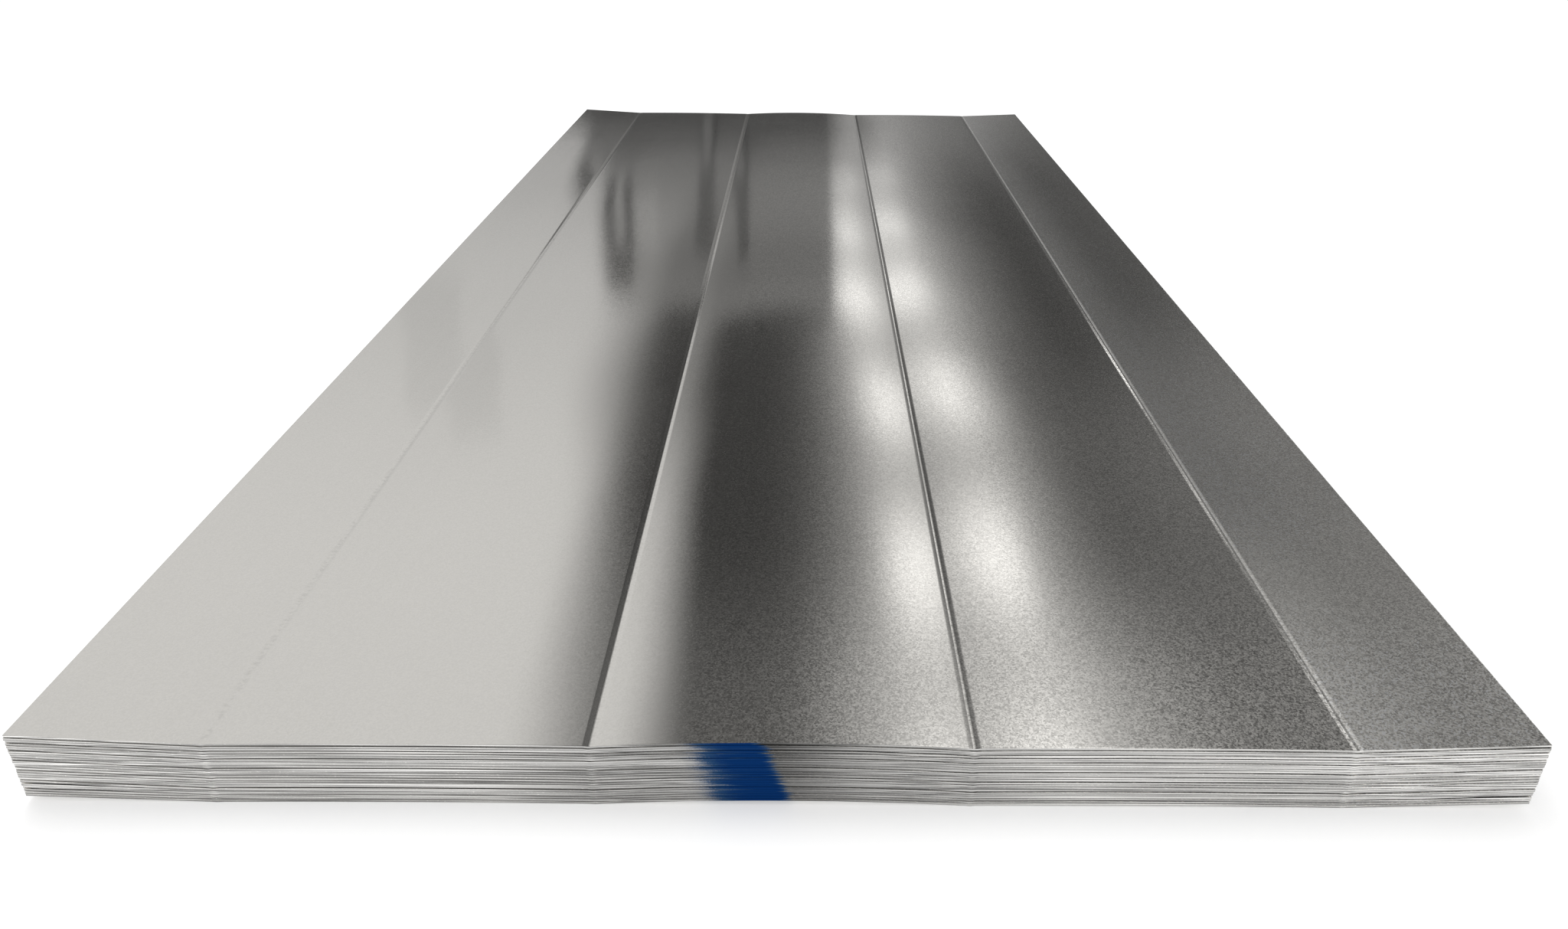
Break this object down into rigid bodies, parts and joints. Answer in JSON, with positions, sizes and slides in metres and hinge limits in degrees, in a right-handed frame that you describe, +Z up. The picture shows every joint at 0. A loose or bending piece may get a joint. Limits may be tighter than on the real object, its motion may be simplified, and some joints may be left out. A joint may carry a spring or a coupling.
{
  "type": "stack of creased galvanised steel sheets",
  "caption": "Flush stack of flat galvanised steel sheets, each stiffened by shallow lengthwise creases, with long edges that rise slightly and a blue paint mark on one end.",
  "frame": {"origin": "under the middle of the stack, on the floor that the lowest sheet lies on", "axes": "+X across the sheets, +Y along the creases away from the end with the paint mark, +Z up through the stack"},
  "size_m": [1.2196, 2.4386, 0.0696],
  "materials": {
    "galvanised_steel": "hot-dip zinc with a fine spangle, sheared bare edges"
  },
  "bodies": {
    "root": {"sheet_01": "galvanised_steel", "sheet_02": "galvanised_steel", "sheet_03": "galvanised_steel", "sheet_04": "galvanised_steel", "sheet_05": "galvanised_steel", "sheet_06": "galvanised_steel", "sheet_07": "galvanised_steel", "sheet_08": "galvanised_steel", "sheet_09": "galvanised_steel", "sheet_10": "galvanised_steel", "sheet_11": "galvanised_steel", "sheet_12": "galvanised_steel", "sheet_13": "galvanised_steel", "sheet_14": "galvanised_steel", "sheet_15": "galvanised_steel", "sheet_16": "galvanised_steel", "sheet_17": "galvanised_steel", "sheet_18": "galvanised_steel", "sheet_19": "galvanised_steel", "sheet_20": "galvanised_steel", "sheet_21": "galvanised_steel", "sheet_22": "galvanised_steel", "sheet_23": "galvanised_steel", "sheet_24": "galvanised_steel"}
  },
  "joints": []
}
